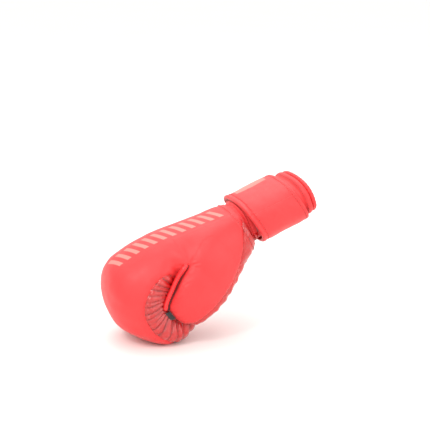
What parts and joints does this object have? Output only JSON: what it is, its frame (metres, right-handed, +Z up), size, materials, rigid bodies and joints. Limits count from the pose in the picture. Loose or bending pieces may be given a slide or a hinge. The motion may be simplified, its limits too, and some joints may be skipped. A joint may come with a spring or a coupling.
{
  "type": "boxing glove",
  "caption": "Padded boxing glove for the right hand, with an attached thumb, a gathered finger pocket and a wide hook-and-loop wrist strap that opens.",
  "frame": {"origin": "middle of the glove's bounding box at floor level, with the glove standing on the front of its fist as pictured", "axes": "+Z up; +X from the fist towards the raised cuff; -Y is the thumb side"},
  "size_m": [0.2686, 0.1252, 0.1947],
  "materials": {
    "matte_leather": "matte",
    "gloss_leather": "gloss",
    "foam": "matte",
    "foam_rubber": "matte",
    "lining_cloth": "matte",
    "black_tape": "matte"
  },
  "bodies": {
    "hand": {"fist_cover": "matte_leather", "palm_panel": "gloss_leather", "pocket_panel": "gloss_leather", "knuckle_pad": "foam_rubber", "fist_foam": "foam", "hand_lining": "lining_cloth", "thumb_cover": "matte_leather", "thumb_palm_panel": "gloss_leather", "thumb_foam": "foam", "thumb_lining": "lining_cloth", "pocket_piping": "matte_leather", "thumb_tie": "black_tape", "grip_bar": "lining_cloth"},
    "cuff": {"neck_band": "matte_leather", "cuff_cover": "matte_leather", "cuff_foam": "foam", "cuff_lining": "lining_cloth", "cuff_binding": "matte_leather", "loop_patch": "black_tape", "strap_tack": "matte_leather", "strap_root": "matte_leather"},
    "strap_side": {"strap_side_panel": "matte_leather"},
    "strap_tip": {"strap_tip_panel": "matte_leather", "hook_patch": "black_tape"}
  },
  "joints": [
    {"name": "wrist_flex", "type": "hinge", "parent": "hand", "child": "cuff", "pos_m": [0.04644, 0.00343, 0.13962], "axis": [0, 1, 0], "range_deg": [-10, 10], "stiffness_Nm_per_rad": 1.5},
    {"name": "strap_side", "type": "hinge", "parent": "cuff", "child": "strap_side", "pos_m": [0.09065, -0.03635, 0.13429], "axis": [0.9272, 0, 0.3746], "range_deg": [0, 95]},
    {"name": "strap_tip", "type": "hinge", "parent": "strap_side", "child": "strap_tip", "pos_m": [0.07454, -0.03635, 0.17416], "axis": [0.9272, 0, 0.3746], "range_deg": [0, 100]}
  ]
}
